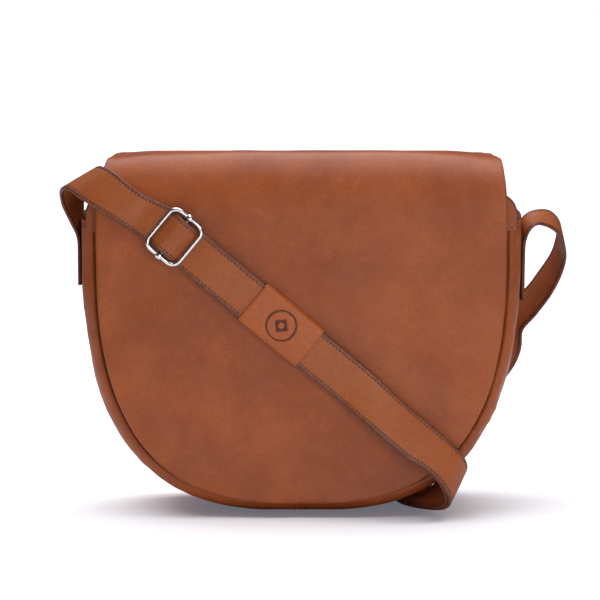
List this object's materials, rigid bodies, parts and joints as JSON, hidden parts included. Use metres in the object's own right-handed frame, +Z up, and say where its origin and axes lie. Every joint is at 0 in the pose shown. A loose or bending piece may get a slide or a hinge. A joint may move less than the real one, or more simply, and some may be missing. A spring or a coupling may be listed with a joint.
{
  "type": "sling bag",
  "caption": "Half-moon crossbody bag with a full-front flap, zipped mouth and flat adjustable shoulder strap, worn across the body to carry small things.",
  "frame": {"origin": "centre of the flat patch that the bag stands on", "axes": "+X to the right seen from the front, +Y to the back, +Z up"},
  "size_m": [0.3651, 0.126, 0.2565],
  "materials": {
    "leather": "soft waxed cognac leather, satin",
    "strap_leather": "two-ply cognac leather, stitched edges",
    "keeper_leather": "smooth cognac leather, slightly more orange",
    "lining": "brushed cotton lining",
    "board": "stiffening board",
    "zip_metal": "brushed brass",
    "zip_tape": "woven zip tape",
    "nickel": "polished nickel plate",
    "thread": "waxed dark brown thread"
  },
  "bodies": {
    "bag": {"front_panel": "leather", "back_panel": "leather", "gusset_left": "leather", "gusset_right": "leather", "front_stiffener": "board", "back_stiffener": "board", "lining": "lining", "inner_pocket": "lining", "front_facing": "leather", "back_facing": "leather", "zip_panel_front": "leather", "zip_panel_back": "leather", "zip_tapes": "zip_tape", "zip_teeth_front": "zip_metal", "zip_teeth_back": "zip_metal", "zip_stops": "zip_metal", "magnet_socket": "nickel", "magnet_socket_washer": "nickel", "flap_band": "leather", "strap_left_loop": "strap_leather", "strap_return_run": "strap_leather", "strap_short": "strap_leather", "strap_ring": "nickel"},
    "flap": {"flap_leather": "leather", "flap_lining": "lining", "magnet_stud": "nickel", "magnet_stud_washer": "nickel"},
    "strap_front": {"strap_top_run": "strap_leather", "strap_under_run": "strap_leather", "adjuster_frame": "nickel"},
    "bar": {"adjuster_bar": "nickel"},
    "keeper": {"strap_keeper": "keeper_leather"},
    "slider": {"zip_slider": "zip_metal"},
    "pull": {"zip_pull": "zip_metal"}
  },
  "joints": [
    {"name": "flap_hinge", "type": "hinge", "parent": "bag", "child": "flap", "pos_m": [0, 0.045, 0.256], "axis": [-1, 0, 0], "range_deg": [0, 110], "deforming": ["flap_leather", "flap_lining"]},
    {"name": "strap_lift", "type": "slide", "parent": "bag", "child": "strap_front", "axis": [0, -1, 0], "range_m": [0, 0.025]},
    {"name": "bar_slide", "type": "slide", "parent": "strap_front", "child": "bar", "axis": [0.7683, 0, -0.6401], "range_m": [-0.0015, 0.0015]},
    {"name": "keeper_slide", "type": "slide", "parent": "strap_front", "child": "keeper", "axis": [0.7683, 0, -0.6401], "range_m": [-0.03, 0.035]},
    {"name": "zip_slide", "type": "slide", "parent": "bag", "child": "slider", "axis": [-1, 0, 0], "range_m": [0, 0.24], "deforming": ["zip_teeth_front", "zip_teeth_back"]},
    {"name": "pull_flip", "type": "hinge", "parent": "slider", "child": "pull", "pos_m": [0.132, 0, 0.2356], "axis": [0, 1, 0], "range_deg": [0, 170]}
  ]
}
